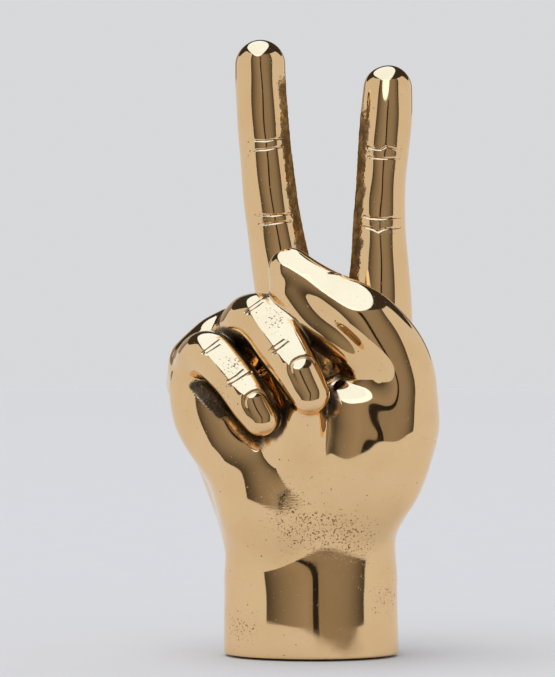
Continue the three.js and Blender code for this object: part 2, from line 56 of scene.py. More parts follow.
# Wrist: an elliptic column that narrows from the foot up to the neck and rounds off inside the palm
FOOT_HALF_WIDTH = 31.3
FOOT_HALF_DEPTH = 23.0
NECK_HALF_WIDTH = 30.4
NECK_HALF_DEPTH = 21.8
FLARE_HEIGHT = 12.0
NECK_HEIGHT = 40.0
COLUMN_HEIGHT = 26.0
RIM_HEIGHT = 0.8
RIM_WIDTH = 3.0
RIM_ROUND = 0.7
WRIST_SEAM_HEIGHT = 44.0

# Digits: a root ball (x, y, z, radius), bones (length, heading from -Y towards +X, pitch, far radius),
# the way along the digit to its seam and the width of its fillet
DIGITS = {
    "index_finger": {
        "root": (22.8, 7, 104, 14),
        "bones": [(22, 100, 85, 12), (17, 90, 89, 10.3), (15, 0, 90, 9.4),
                  (16, 60, 87, 9), (18, 70, 85, 9.4), (12.8, 162, 78, 8.8)],
        "seam": 28,
        "blend": 8,
    },
    "middle_finger": {
        "root": (-3.2, 9, 106, 13),
        "bones": [(22.5, -90, 77, 11.5), (18.5, -82, 79, 10.4), (17, -80, 81, 9.8),
                  (19, -77, 84, 9.4), (18, -70, 85, 9.2), (13.5, -60, 88, 9)],
        "seam": 28,
        "blend": 8,
    },
    "ring_finger": {
        "root": (-24.2, 10, 107, 12.5),
        "bones": [(17.5, 3.5, 25, 11.3), (12.8, 13, 25, 10.2), (6.3, 28, -1, 9.9),
                  (15.9, 39, -39, 9), (10, 43, -47, 8.3), (9, 64, -58, 7.1)],
        "seam": 21,
        "blend": 2.5,
    },
    "little_finger": {
        "root": (-39.6, 8, 98.5, 12.2),
        "bones": [(15, 2, 22, 10.2), (10.8, 10, 21, 8.8), (5.1, 26, -4, 8.3),
                  (14.5, 45, -35, 7.7), (10, 49, -46, 7.4), (7.1, 69, -55, 6.4)],
        "seam": 18,
        "blend": 2.5,
    },
    "thumb": {
        "root": (27.3, -16.5, 84, 17),
        "bones": [(19.5, 22, 70, 13.4), (16, -40, 55, 11.2), (12.8, -80, 41, 10.2),
                  (10.8, -105, 29, 8.8), (15.8, -105, 34, 8)],
        "seam": 40,
        "blend": 7,
    },
}

# The pad of the thumb, a second row of balls below its bones
THUMB_PAD = [(20, -25, 106, 9), (13.5, -27.5, 112.5, 9.3), (4, -26.5, 119.5, 9.3),
             (-6, -24.5, 130.5, 9)]
PAD_BLEND = 4

# Flats on the backs of the folded digits, each as a point on it and the way it faces
FACETS = {
    "thumb": ((14.7, -39.1, 128.2), (0.03, -0.865, 0.5)),
    "ring_finger": ((-9.3, -38.5, 114.2), (0.063, -0.791, 0.608)),
    "little_finger": ((-26.4, -33.9, 103.4), (0.054, -0.773, 0.633)),
}
FACET_BLEND = 2.5

# The foot leans out a little at the front, on the thumb's side
LEAN_HEIGHT = 20.0
LEAN_RATE = 0.0013

# Palm: metacarpals from these balls at the wrist to the roots of the fingers, and cushions before them
CARPALS = {
    "index_finger": (13, 2, 40, 16),
    "middle_finger": (2.8, 3, 36, 17),
    "ring_finger": (-4.2, 3, 38, 17),
    "little_finger": (-12.7, 2, 40, 16.3),
}
METACARPAL_BLEND = 14
KNUCKLES = [(22.8, 14.5, 103, 9), (-3.2, 16, 106, 9), (-24.2, 16.5, 108, 8.8), (-39.8, 14, 100, 8.5)]
KNUCKLE_BLEND = 8
THENAR = [(11, -2, 45, 13.5), (25.5, -14, 72, 17)]
THUMB_MOUND = [(7, -3, 45, 13.5), (12.5, -16.8, 73.5, 15.5), (14.5, -18.5, 86, 16.5)]
PALM_FOLD = [(-3, -4, 43, 15), (-5, -17.5, 70, 14), (-2.5, -33, 89, 7)]
HYPOTHENAR = [(-12, -2, 45, 13.5), (-17, -9.5, 52, 14.5), (-22.5, -11, 68, 14.5),
              (-35.7, -8.5, 88, 13.8), (-39.5, -5.5, 97, 11)]
HEEL = [(-9, -2, 45, 13.5), (-9.5, -11.2, 51, 14.5), (-12.5, -14, 67, 14.5)]
KNUCKLE_WEB = [(-28.2, 0, 115.3, 9.8), (-34, 0, 112.5, 9.4), (-41, 1, 105, 10.2)]
CUSHION_BLEND = 12
FOLD_BLEND = 4

# Fineness of the skin: its grid, the blocks worked out near the surface, and the links of a chain
CELL = 0.8
BLOCK = 4
BATCH = 4000
NEAR_SHARE = 0.9
NEAR_MARGIN = 2
REFINE_PASSES = 2
CUT_MARGIN = 0.02
LINK_LENGTH = 4.0
SPLINE_PASSES = 3
LEAST_STIFFNESS = 0.3
REACH = 16
FAR = 1000.0
TINY = 1e-9
SLOPE_REACH = 0.04
LEAST_SLOPE_SQUARE = 0.25
SKIN_LOW = (-56, -50, -3)
SKIN_HIGH = (52, 28, 226)


# Distance fields

def lengths(rows):
    return np.linalg.norm(rows, axis=1)


def dots(a, b):
    return np.einsum("ij,ij->i", a, b)


def ramp(x, start, end):
    """Runs smoothly from 0 at start to 1 at end."""
    t = np.clip((x - start) / (end - start), 0, 1)
    return t * t * (3 - 2 * t)


def blend(a, b, width):
    """Joins two distances with a fillet of the given width."""
    overlap = np.maximum(width - np.abs(a - b), 0) / width
    return np.minimum(a, b) - overlap ** 3 * width / 6


def balls_of(digit):
    """The balls of a digit, its root first."""
    balls = [np.array(digit["root"], float)]
    for length, heading, pitch, radius in digit["bones"]:
        turn, rise = math.radians(heading), math.radians(pitch)
        flat = math.cos(rise)
        step = np.array([flat * math.sin(turn), -flat * math.cos(turn), math.sin(rise)])
        balls.append(np.append(balls[-1][:3] + length * step, radius))
    return np.array(balls)


class Chain:
    """The skin over a smooth chain of balls, whose middles and radii follow a cubic spline."""

    def __init__(self, balls):
        balls = np.array(balls, float)
        span = lengths(np.diff(balls[:, :3], axis=0))
        self.knots = np.concatenate([[0], np.cumsum(span)])
        rise = np.diff(balls, axis=0) / span[:, None]
        size = len(balls)
        system, pull = np.eye(size), np.zeros((size, 4))
        for i in range(1, size - 1):
            system[i, i - 1:i + 2] = span[i - 1], 2 * (span[i - 1] + span[i]), span[i]
            pull[i] = 6 * (rise[i] - rise[i - 1])
        bend = np.linalg.solve(system, pull)
        first = rise - span[:, None] * (2 * bend[:-1] + bend[1:]) / 6
        third = (bend[1:] - bend[:-1]) / (6 * span[:, None])
        self.terms = np.stack([balls[:-1], first, bend[:-1] / 2, third], 1)
        self.end = self.knots[-1]
        marks = np.linspace(0, self.end, max(2, round(self.end / LINK_LENGTH) + 1) if size > 2 else 2)
        chain = self.at(marks)[0]
        self.near, self.step = chain[:-1], np.diff(chain, axis=0)
        self.mark, self.pitch = marks[:-1], marks[1] - marks[0]
        self.low = (chain[:, :3] - chain[:, 3:] - REACH).min(0)
        self.high = (chain[:, :3] + chain[:, 3:] + REACH).max(0)
        self.straight = size == 2

    def at(self, along):
        """The balls at places along the chain, and their first and second slopes."""
        span = np.clip(np.searchsorted(self.knots, along, "right") - 1, 0, len(self.knots) - 2)
        u = (along - self.knots[span])[:, None]
        a, b, c, d = self.terms[span].transpose(1, 0, 2)
        return a + u * (b + u * (c + u * d)), b + u * (2 * c + 3 * u * d), 2 * c + 6 * u * d

    def measure(self, points):
        """The distance of points from the skin, and how far along the chain each of them lies."""
        distance = np.full(len(points), FAR)
        along = np.zeros(len(points))
        close = np.flatnonzero(((points > self.low) & (points < self.high)).all(1))
        near = points[close]
        best = np.full(len(near), FAR)
        place = np.zeros(len(near))
        for start, step, mark in zip(self.near, self.step, self.mark):
            offset = near - start[:3]
            t = np.clip(offset @ step[:3] / (step[:3] @ step[:3]), 0, 1)
            offset -= t[:, None] * step[:3]
            gap = np.sqrt(dots(offset, offset)) - start[3] - t * step[3]
            closer = gap < best
            best = np.where(closer, gap, best)
            place = np.where(closer, mark + t * self.pitch, place)
        if not self.straight:
            for _ in range(SPLINE_PASSES):
                ball, slope, bend = self.at(place)
                offset = near - ball[:, :3]
                reach = np.sqrt(dots(offset, offset))
                pull = dots(offset, slope[:, :3]) + reach * slope[:, 3]
                stiff = dots(slope[:, :3], slope[:, :3])
                stiff = stiff - dots(offset, bend[:, :3])
                stiff = np.maximum(stiff, LEAST_STIFFNESS)
                place = np.clip(place + np.clip(pull / stiff, -LINK_LENGTH, LINK_LENGTH), 0, self.end)
            ball = self.at(place)[0]
            best = np.sqrt(((near - ball[:, :3]) ** 2).sum(1)) - ball[:, 3]
        distance[close] = best
        along[close] = place
        return distance, along

    def distance(self, points):
        return self.measure(points)[0]


CHAINS = {name: Chain(balls_of(digit)) for name, digit in DIGITS.items()}
METACARPALS = [Chain([ball, DIGITS[name]["root"]]) for name, ball in CARPALS.items()]
CUSHIONS = [Chain(balls) for balls in
            (THENAR + [DIGITS["thumb"]["root"]], THUMB_MOUND, HYPOTHENAR, HEEL)]
FOLDS = [Chain(PALM_FOLD), Chain(KNUCKLE_WEB)]
PAD = Chain(THUMB_PAD)


def wrist_field(points):
    x, y, z = points.T
    flare = 1 - ramp(z, FLARE_HEIGHT, NECK_HEIGHT)
    half_width = NECK_HALF_WIDTH + flare * (FOOT_HALF_WIDTH - NECK_HALF_WIDTH)
    half_depth = NECK_HALF_DEPTH + flare * (FOOT_HALF_DEPTH - NECK_HALF_DEPTH)
    u, v, w = x / half_width, y / half_depth, np.maximum(z - COLUMN_HEIGHT, 0) / half_depth
    reach = np.sqrt(u * u + v * v + w * w) + TINY
    slope = np.sqrt((u / half_width) ** 2 + (v / half_depth) ** 2 + (w / half_depth) ** 2) + TINY
    return reach * (reach - 1) / slope


def core_field(points):
    """The wrist and the palm without digits."""
    distance = wrist_field(points)
    for chain in METACARPALS:
        distance = blend(distance, chain.distance(points), METACARPAL_BLEND)
    for *centre, radius in KNUCKLES:
        knuckle = np.sqrt(((points - np.array(centre)) ** 2).sum(1)) - radius
        distance = blend(distance, knuckle, KNUCKLE_BLEND)
    for chain in CUSHIONS:
        distance = blend(distance, chain.distance(points), CUSHION_BLEND)
    for chain in FOLDS:
        distance = blend(distance, chain.distance(points), FOLD_BLEND)
    return distance


def joined(core, digit):
    """The palm with its raised fingers and its thumb, from the distances of the core and each digit."""
    raised = core
    for name in ("middle_finger", "index_finger"):
        raised = blend(raised, digit[name], DIGITS[name]["blend"])
    return np.minimum(raised, blend(core, digit["thumb"], DIGITS["thumb"]["blend"]))


def measure_digits(points):
    """For each digit, the distance of points from its skin and how far along its bones they lie."""
    measured = {name: chain.measure(points) for name, chain in CHAINS.items()}
    distance, along = measured["thumb"]
    measured["thumb"] = blend(distance, PAD.distance(points), PAD_BLEND), along
    for name, (place, way) in FACETS.items():
        distance, along = measured[name]
        facet = (points - place) @ (np.array(way) / np.linalg.norm(way))
        measured[name] = -blend(-distance, -facet, FACET_BLEND), along
    return measured


def hand_field(points):
    digit = {name: distance for name, (distance, _) in measure_digits(points).items()}
    distance = joined(core_field(points), digit)
    for name in ("ring_finger", "little_finger"):
        distance = blend(distance, digit[name], DIGITS[name]["blend"])
    return distance


# Skin

def slope_of(field, points):
    slope = np.zeros_like(points)
    for way in np.array([(1, -1, -1), (-1, -1, 1), (-1, 1, -1), (1, 1, 1)]):
        slope += field(points + SLOPE_REACH * way)[:, None] * way
    return slope / (4 * SLOPE_REACH)


def settle(field, points, passes):
    """Moves points along the slope of a field onto its surface."""
    for _ in range(passes):
        slope = slope_of(field, points)
        square = np.maximum((slope * slope).sum(1), LEAST_SLOPE_SQUARE)
        points = points - (field(points) / square)[:, None] * slope
    return points


def sample(field, low, cell, counts):
    """A grid of field values, worked out only in the blocks near the surface."""
    blocks = -(-counts // BLOCK)
    centres = [low[i] + cell * (BLOCK * np.arange(blocks[i]) + (BLOCK - 1) / 2) for i in range(3)]
    middle = field(np.stack(np.meshgrid(*centres, indexing="ij"), -1).reshape(-1, 3))
    near = np.abs(middle) < NEAR_SHARE * cell * BLOCK + NEAR_MARGIN
    values = np.kron(np.where(middle < 0, -FAR, FAR).reshape(blocks), np.ones((BLOCK,) * 3))
    inner = np.stack(np.meshgrid(*[np.arange(BLOCK)] * 3, indexing="ij"), -1).reshape(-1, 3)
    chosen = np.argwhere(near.reshape(blocks))
    for first in range(0, len(chosen), BATCH):
        cells = (chosen[first:first + BATCH, None, :] * BLOCK + inner).reshape(-1, 3)
        values[tuple(cells.T)] = field(low + cell * cells)
    return values[:counts[0], :counts[1], :counts[2]]


def skin(field, low, high, cell):
    """The surface of a field: one point in each grid cell that it passes, and triangles between them."""
    low, high = np.array(low, float), np.array(high, float)
    counts = np.ceil((high - low) / cell).astype(int) + 1
    values = sample(field, low, cell, counts)
    inside = values < 0
    corners = [np.array([n & 1, (n >> 1) & 1, n >> 2]) for n in range(8)]
    total = sum(inside[tuple(slice(o, c - 1 + o) for o, c in zip(corner, counts))].astype(int)
                for corner in corners)
    cells = np.argwhere((total > 0) & (total < 8))
    number = np.full(counts - 1, -1)
    number[tuple(cells.T)] = np.arange(len(cells))
    place = np.zeros((len(cells), 3))
    cuts = np.zeros(len(cells))
    for corner in corners:
        for axis in np.flatnonzero(corner == 0):
            far = corner.copy()
            far[axis] = 1
            a, b = values[tuple((cells + corner).T)], values[tuple((cells + far).T)]
            cut = (a < 0) != (b < 0)
            t = np.where(cut, a / np.where(cut, a - b, 1), 0)
            place += np.where(cut[:, None], corner + t[:, None] * (far - corner), 0)
            cuts += cut
    points = low + cell * (cells + place / cuts[:, None])
    quads = []
    for axis in range(3):
        b, c = (axis + 1) % 3, (axis + 2) % 3
        first = [slice(None)] * 3
        second = [slice(None)] * 3
        first[axis], second[axis] = slice(0, -1), slice(1, None)
        start, end = inside[tuple(first)], inside[tuple(second)]
        edges = np.argwhere(start != end)
        edges = edges[(edges[:, b] > 0) & (edges[:, c] > 0)]
        flip = end[tuple(edges.T)]
        around = []
        for step_b, step_c in ((0, 0), (-1, 0), (-1, -1), (0, -1)):
            beside = edges.copy()
            beside[:, b] += step_b
            beside[:, c] += step_c
            around.append(number[tuple(beside.T)])
        quad = np.stack(around, 1)
        quad[flip] = quad[flip][:, ::-1]
        quads.append(quad)
    quads = np.vstack(quads)
    p = points[quads]
    short = lengths(p[:, 0] - p[:, 2]) < lengths(p[:, 1] - p[:, 3])
    one = np.where(short[:, None], quads[:, [0, 1, 2]], quads[:, [0, 1, 3]])
    two = np.where(short[:, None], quads[:, [0, 2, 3]], quads[:, [1, 2, 3]])
    return points, np.vstack([one, two])


def refine(points, faces, wanted):
    """Halves the edges between wanted points, and splits the faces beside them to match."""
    marked = wanted[faces] & wanted[np.roll(faces, -1, 1)]
    pairs = np.sort(np.stack([faces, np.roll(faces, -1, 1)], -1), -1)
    unique, place = np.unique(pairs[marked], axis=0, return_inverse=True)
    middle = np.full(faces.shape, -1)
    middle[marked] = len(points) + place.ravel()
    points = np.vstack([points, points[unique].mean(1)])
    count = marked.sum(1)
    made = [faces[count == 0]]
    rows = np.flatnonzero(count == 3)
    (a, b, c), (ab, bc, ca) = faces[rows].T, middle[rows].T
    made += [np.stack(t, 1) for t in ((a, ab, ca), (ab, b, bc), (ca, bc, c), (ab, bc, ca))]
    for number in (1, 2):
        rows = np.flatnonzero(count == number)
        first = (marked[rows] if number == 1 else ~marked[rows]).argmax(1)
        order = (first[:, None] + np.arange(3)) % 3
        a, b, c = np.take_along_axis(faces[rows], order, 1).T
        ab, bc, ca = np.take_along_axis(middle[rows], order, 1).T
        if number == 1:
            made += [np.stack(t, 1) for t in ((a, ab, c), (ab, b, c))]
        else:
            made += [np.stack(t, 1) for t in ((a, b, bc), (a, bc, ca), (ca, bc, c))]
    return points, np.vstack(made)


def cut(points, faces, level):
    """Splits faces along the line where level, a value for each point, changes sign."""
    side = level >= 0
    mixed = side[faces].any(1) & ~side[faces].all(1)
    part = faces[mixed]
    alone = side[part].sum(1) == 1
    lone = np.where(alone[:, None], side[part], ~side[part]).argmax(1)
    a, b, c = np.take_along_axis(part, (lone[:, None] + np.arange(3)) % 3, 1).T
    pairs = np.sort(np.vstack([np.stack([a, b], 1), np.stack([a, c], 1)]), 1)
    unique, place = np.unique(pairs, axis=0, return_inverse=True)
    start, end = level[unique].T
    t = np.clip(start / (start - end), CUT_MARGIN, 1 - CUT_MARGIN)
    fresh = points[unique[:, 0]] + t[:, None] * (points[unique[:, 1]] - points[unique[:, 0]])
    ab, ac = (len(points) + place.ravel()).reshape(2, -1)
    split = [np.stack(face, 1) for face in ((a, ab, ac), (ab, b, c), (ab, c, ac))]
    return np.vstack([points, fresh]), np.vstack([faces[~mixed]] + split)


# Fine forms on the skin

# Engraved joint lines on the front and two hairline flaws: points (x, z) along each line. JOINT_LINES
# adds the y up to which a line has its full depth, behind which it fades
MIDDLE_LINES = [
    [(-22.2, 184.8), (-20.7, 185.2), (-16.1, 185.1), (-11.8, 185.9), (-10.0, 186.2)],
    [(-21.5, 181.5), (-19.8, 181.8), (-16.0, 182.0), (-11.5, 182.9), (-9.7, 183.2)],
    [(-19.7, 158.5), (-17.7, 158.4), (-13.3, 158.3), (-8.8, 158.8), (-6.8, 159.1)],
    [(-18.3, 155.2), (-16.0, 155.1), (-11.2, 155.8), (-7.5, 156.2)],
]
INDEX_LINES = [
    [(19.8, 183.1), (22.7, 182.1), (25.2, 181.9), (27.0, 182.9), (29.1, 182.4), (33.4, 181.3)],
    [(20.9, 179.4), (22.1, 179.0), (26.6, 178.7), (31.6, 178.8), (33.4, 179.0)],
    [(19.1, 158.0), (21.2, 157.3), (25.5, 157.1), (29.8, 157.5), (32.4, 157.7)],
    [(19.1, 154.2), (20.9, 153.8), (22.7, 153.2), (24.2, 152.4), (25.9, 153.3), (32.0, 154.0)],
]
RING_LINES = [
    [(-23.3, 123.3), (-19.5, 126.0), (-15.7, 128.7)],
    [(-22.3, 122.7), (-18.8, 125.0), (-17.1, 126.4)],
    [(-14.6, 109.8), (-12.2, 111.6), (-9.7, 113.3)],
    [(-13.4, 108.8), (-10.8, 110.5), (-8.2, 112.6)],
]
LITTLE_LINES = [
    [(-38.2, 108.9), (-35.4, 111.0), (-32.4, 113.3)],
    [(-36.8, 108.6), (-34.3, 110.1), (-32.2, 111.5)],
    [(-29.0, 99.1), (-26.2, 100.8), (-23.9, 102.8)],
    [(-29.4, 97.2), (-26.2, 99.1), (-23.2, 101.0), (-21.3, 102.2)],
]
FLAWS = [
    [(38.5, 78.9), (41.5, 78.2), (44.5, 77.9)],
    [(31.9, 62.3), (31.1, 59.4), (30.5, 57.0)],
]
RAISED_BACK = 0.0
FLAW_BACK = -6.0
CURLED_BACK = -14.0
JOINT_LINES = [(line, RAISED_BACK) for line in MIDDLE_LINES + INDEX_LINES]
JOINT_LINES += [(line, FLAW_BACK) for line in FLAWS]
JOINT_LINES += [(line, CURLED_BACK) for line in RING_LINES + LITTLE_LINES]
LINE_DEPTH = 0.32
LINE_HALF_WIDTH = 0.42
LINE_FADE = 6
LINE_MARGIN = 2
LINE_DETAIL = 1.6

# On the back of the hand: wrinkles over the joints of the raised fingers, tendons and the wrist's bone
WRINKLES = [
    [(20.5, 158.8), (25.0, 160.0), (30.0, 158.9)],
    [(20.0, 156.6), (25.2, 157.0), (30.4, 156.4)],
    [(20.8, 154.2), (25.0, 153.4), (29.6, 154.3)],
    [(22.0, 183.0), (26.4, 184.0), (30.8, 183.0)],
    [(22.2, 180.9), (26.2, 180.5), (30.6, 181.0)],
    [(-18.6, 159.2), (-13.4, 160.4), (-8.4, 159.8)],
    [(-18.8, 156.8), (-13.2, 157.2), (-7.8, 157.4)],
    [(-17.6, 154.4), (-12.8, 153.9), (-8.0, 155.0)],
    [(-21.0, 185.6), (-16.2, 186.8), (-11.4, 186.2)],
    [(-20.6, 183.2), (-16.0, 183.2), (-11.2, 184.0)],
]
TENDONS = [
    [(22.8, 103), (13.0, 62)],
    [(-3.2, 106), (-0.5, 60)],
    [(-24.2, 108), (-8.5, 62)],
    [(-39.8, 100), (-15.5, 62)],
]
TENDON_HEIGHT = 0.7
TENDON_HALF_WIDTH = 2.6
TENDON_SPAN = (50, 112)
TENDON_LOW_FADE = (55, 75)
TENDON_HIGH_FADE = (-106, -92)
WRINKLE_SPAN = (150, 190)
BACK_START = 6
BACK_FULL = 12
WRIST_BONE = (-17.5, 17.0, 30.0)
WRIST_BONE_HEIGHT = 1.4
WRIST_BONE_REACH = 9.0
BACK_LINE_DEPTH = 0.22

# Nails: the digit, the way along it to the middle of the nail, the way the nail faces, length and width
NAILS = [
    ("ring_finger", 66.4, (0.25, -1.0, 0.35), 12.5, 9.0),
    ("little_finger", 59.3, (0.1, -1.0, 0.35), 10.0, 8.0),
    ("thumb", 66.5, (0.6, 0.05, 0.8), 16.0, 12.0),
    ("index_finger", 97.0, (0.0, 1.0, 0.0), 13.0, 11.0),
    ("middle_finger", 104.5, (0.0, 1.0, 0.0), 13.5, 11.5),
]
NAIL_GROOVE = 0.3
NAIL_GROOVE_HALF_WIDTH = 0.4
NAIL_RISE = 0.15
NAIL_FOLD = 0.14
NAIL_FOLD_OFFSET = 1.3
NAIL_EDGE = 0.8
NAIL_ROOT_ROUND = 0.46
NAIL_TIP_ROUND = 0.24
NAIL_REACH = 8
NAIL_DETAIL = 2.2
NAIL_DETAIL_REACH = 6

# Waves left by hand polishing
WAVE_HEIGHT = 0.065

# Where the casting was left raw: the inner flanks of the raised fingers, as the digit, the side and the
# heights between which it is raw, deep places between the fist's digits, as balls, and the crevice beside
# the little finger
RAW_FLANKS = [("index_finger", -1, 126, 202), ("middle_finger", 1, 126, 214)]
DEEP_PLACES = [
    ((4, -15, 107), 15),
    ((-26, -14, 110), 8), ((-19, -20, 101), 8.5), ((-11, -26, 92), 8.5),
    ((-40, -10, 97), 6), ((-30, -18, 88), 7), ((4, -30, 86), 4.5),
]
CREVICE = Chain([(-41.5, -17.5, 97, 1.5), (-38.5, -20, 94, 1.5), (-36, -22, 91.5, 1.5),
                 (-32, -24, 87.5, 1.5)])
CREVICE_SOFTNESS = (-1.5, 0.8)
DEEP_CORE = 0.6
RAW_HEIGHT = 0.07


def bell(x, width):
    return np.exp(-(x / width) ** 2)


def line_gap(points, line):
    """The distance of points from a line of (x, z) places, seen from the front."""
    flat = points[:, [0, 2]]
    best = np.full(len(points), FAR)
    for a, b in zip(np.array(line[:-1]), np.array(line[1:])):
        t = np.clip((flat - a) @ (b - a) / ((b - a) @ (b - a)), 0, 1)
        best = np.minimum(best, lengths(flat - a - t[:, None] * (b - a)))
    return best


def nail_frame(nail):
    """The middle of a nail on its digit's axis, and the ways along, across and out of it."""
    name, place, facing, _, _ = nail
    ball, slope, _ = CHAINS[name].at(np.array([place]))
    along = slope[0, :3] / np.linalg.norm(slope[0, :3])
    out = np.array(facing) - along * (along @ np.array(facing))
    out /= np.linalg.norm(out)
    return ball[0, :3], along, np.cross(along, out), out


def nail_gap(u, v, length, width):
    """The distance from the outline of a nail, which is rounder at its root than at its free edge."""
    corner = np.where(u < 0, NAIL_ROOT_ROUND * width, NAIL_TIP_ROUND * width)
    a = np.abs(u) - length / 2 + corner
    b = np.abs(v) - width / 2 + corner
    return np.hypot(np.maximum(a, 0), np.maximum(b, 0)) + np.minimum(np.maximum(a, b), 0) - corner


NAIL_FRAMES = [(nail_frame(nail), nail[3], nail[4]) for nail in NAILS]


def nail_rise(points):
    rise = np.zeros(len(points))
    for (middle, along, across, out), length, width in NAIL_FRAMES:
        close = np.flatnonzero(lengths(points - middle) < length + NAIL_REACH)
        offset = points[close] - middle
        rootward = -offset @ along
        gap = nail_gap(offset @ along, offset @ across, length, width)
        front = ramp(offset @ out, 1.0, 3.0)
        plate = NAIL_RISE * ramp(-gap, 0, NAIL_EDGE) * ramp(rootward, -0.3 * length, 0.3 * length)
        fold = NAIL_FOLD * bell(gap - NAIL_FOLD_OFFSET, NAIL_EDGE) * ramp(rootward, -0.4 * length, 0)
        groove = NAIL_GROOVE * bell(gap, NAIL_GROOVE_HALF_WIDTH)
        groove = groove * ramp(rootward, 0.1 * length, 0.42 * length)
        rise[close] += front * (plate + fold - groove)
    return rise


def line_rise(points):
    rise = np.zeros(len(points))
    for line, back in JOINT_LINES:
        flat = np.array(line)
        low, high = flat.min(0) - LINE_MARGIN, flat.max(0) + LINE_MARGIN
        place = points[:, [0, 2]]
        within = ((place > low) & (place < high)).all(1)
        close = np.flatnonzero(within & (points[:, 1] < back + LINE_FADE))
        gap = line_gap(points[close], line)
        front = ramp(-points[close, 1], -back - LINE_FADE, -back)
        rise[close] -= LINE_DEPTH * front * bell(gap, LINE_HALF_WIDTH)
    return rise


def back_rise(points):
    rise = WRIST_BONE_HEIGHT * bell(lengths(points - WRIST_BONE), WRIST_BONE_REACH)
    behind = ramp(points[:, 1], BACK_START, BACK_FULL)
    z = points[:, 2]
    on_back = points[:, 1] > BACK_START
    close = np.flatnonzero(on_back & (z > TENDON_SPAN[0]) & (z < TENDON_SPAN[1]))
    for line in TENDONS:
        fade = ramp(z[close], *TENDON_LOW_FADE) * ramp(-z[close], *TENDON_HIGH_FADE)
        gap = line_gap(points[close], line)
        rise[close] += TENDON_HEIGHT * behind[close] * fade * bell(gap, TENDON_HALF_WIDTH)
    close = np.flatnonzero(on_back & (z > WRINKLE_SPAN[0]) & (z < WRINKLE_SPAN[1]))
    for line in WRINKLES:
        gap = line_gap(points[close], line)
        rise[close] -= BACK_LINE_DEPTH * behind[close] * bell(gap, LINE_HALF_WIDTH)
    return rise


def deep_share(points):
    """How deep points lie in the fist's hollows, from 0 outside them to 1."""
    shares = [ramp(-lengths(points - place), -reach, -DEEP_CORE * reach)
              for place, reach in DEEP_PLACES]
    return np.maximum.reduce(shares + [ramp(-CREVICE.distance(points), *CREVICE_SOFTNESS)])


def raw_share(points):
    """How raw the casting was left, from 0 on polished skin to 1."""
    x, y, z = points.T
    share = np.zeros(len(points))
    for name, side, low, high in RAW_FLANKS:
        balls = balls_of(DIGITS[name])
        axis = np.interp(z, balls[:, 2], balls[:, 0])
        out = side * (x - axis) / np.interp(z, balls[:, 2], balls[:, 3])
        out = out + 0.06 * np.sin(0.31 * z + 0.9 * y)
        out = out + 0.05 * np.sin(0.83 * z + 1) * np.sin(0.19 * z + 2)
        flank = ramp(out, 0.5, 0.92) * (out < 1.4) * ramp(y, -9, -6)
        share = np.maximum(share, flank * ramp(z, low, low + 10) * ramp(-z, -high, 12 - high))
    return np.maximum(share, deep_share(points))


def raw_rise(points):
    x, y, z = points.T
    lumps = np.sin(2.3 * x + 0.9 * y + 0.7 * z) * np.sin(1.9 * z - 0.6 * y)
    lumps = lumps + np.sin(3.1 * y + 1.7 * z + 0.7) * np.sin(2.7 * y - 1.3 * x + 0.9 * z)
    return RAW_HEIGHT * raw_share(points) * lumps


def wave_rise(points):
    """The slight unevenness that hand polishing leaves, and the lean of the foot."""
    x, y, z = points.T
    waves = np.sin(0.41 * x + 0.13 * z + 1.1) * np.sin(0.37 * y - 0.05 * z + 0.4)
    waves = waves + np.sin(0.29 * z + 0.22 * x) * np.sin(0.33 * x - 0.21 * y + 2.0)
    lean = LEAN_RATE * np.maximum(LEAN_HEIGHT - z, 0) ** 2 * ramp(x, -12, 14) * (y < 0)
    return WAVE_HEIGHT * waves * ramp(z, 25, 60) + lean


def fine_field(points):
    rise = nail_rise(points) + line_rise(points) + back_rise(points)
    return hand_field(points) - rise - raw_rise(points) - wave_rise(points)


def wants_detail(points):
    """Where the skin has lines too fine for its cells."""
    fine = np.zeros(len(points), bool)
    for line, back in JOINT_LINES:
        fine |= (line_gap(points, line) < LINE_DETAIL) & (points[:, 1] < back + LINE_FADE)
    for line in WRINKLES:
        fine |= (line_gap(points, line) < LINE_DETAIL) & (points[:, 1] > BACK_START)
    for (middle, along, across, out), length, width in NAIL_FRAMES:
        offset = points - middle
        gap = nail_gap(offset @ along, offset @ across, length, width)
        close = lengths(offset) < length + NAIL_DETAIL_REACH
        fine |= (np.abs(gap) < NAIL_DETAIL) & (offset @ out > 0) & close
    return fine


def piece_levels(points):
    """For each digit, a value that is positive on its own skin beyond its seam."""
    measured = measure_digits(points)
    core = core_field(points)
    levels = {}
    for name, (distance, along) in measured.items():
        others = np.minimum.reduce([d for other, (d, _) in measured.items() if other != name])
        rest = np.minimum(core, others) if name in ("ring_finger", "little_finger") else others
        levels[name] = np.minimum(along - DIGITS[name]["seam"], rest - distance)
    return levels


# How far out from the skin creases and hollows are looked for, and where the front of the casting is
# pitted, as places (x, z) and the reach of each
CREASE_PROBE = 1.5
HOLLOW_PROBES = (4.0, 7.0, 11.0)
PITTED_PLACES = [((-6, 47), 8), ((5, 45), 10), ((16, 43), 9), ((-25, 11), 7), ((27, 22), 7),
                 ((-34, 92), 6), ((-13, 120), 5), ((-27, 104.5), 5), ((-9, 57), 7), ((20, 181), 4),
                 ((33, 180), 4), ((26, 154), 5), ((-17, 157), 4)]

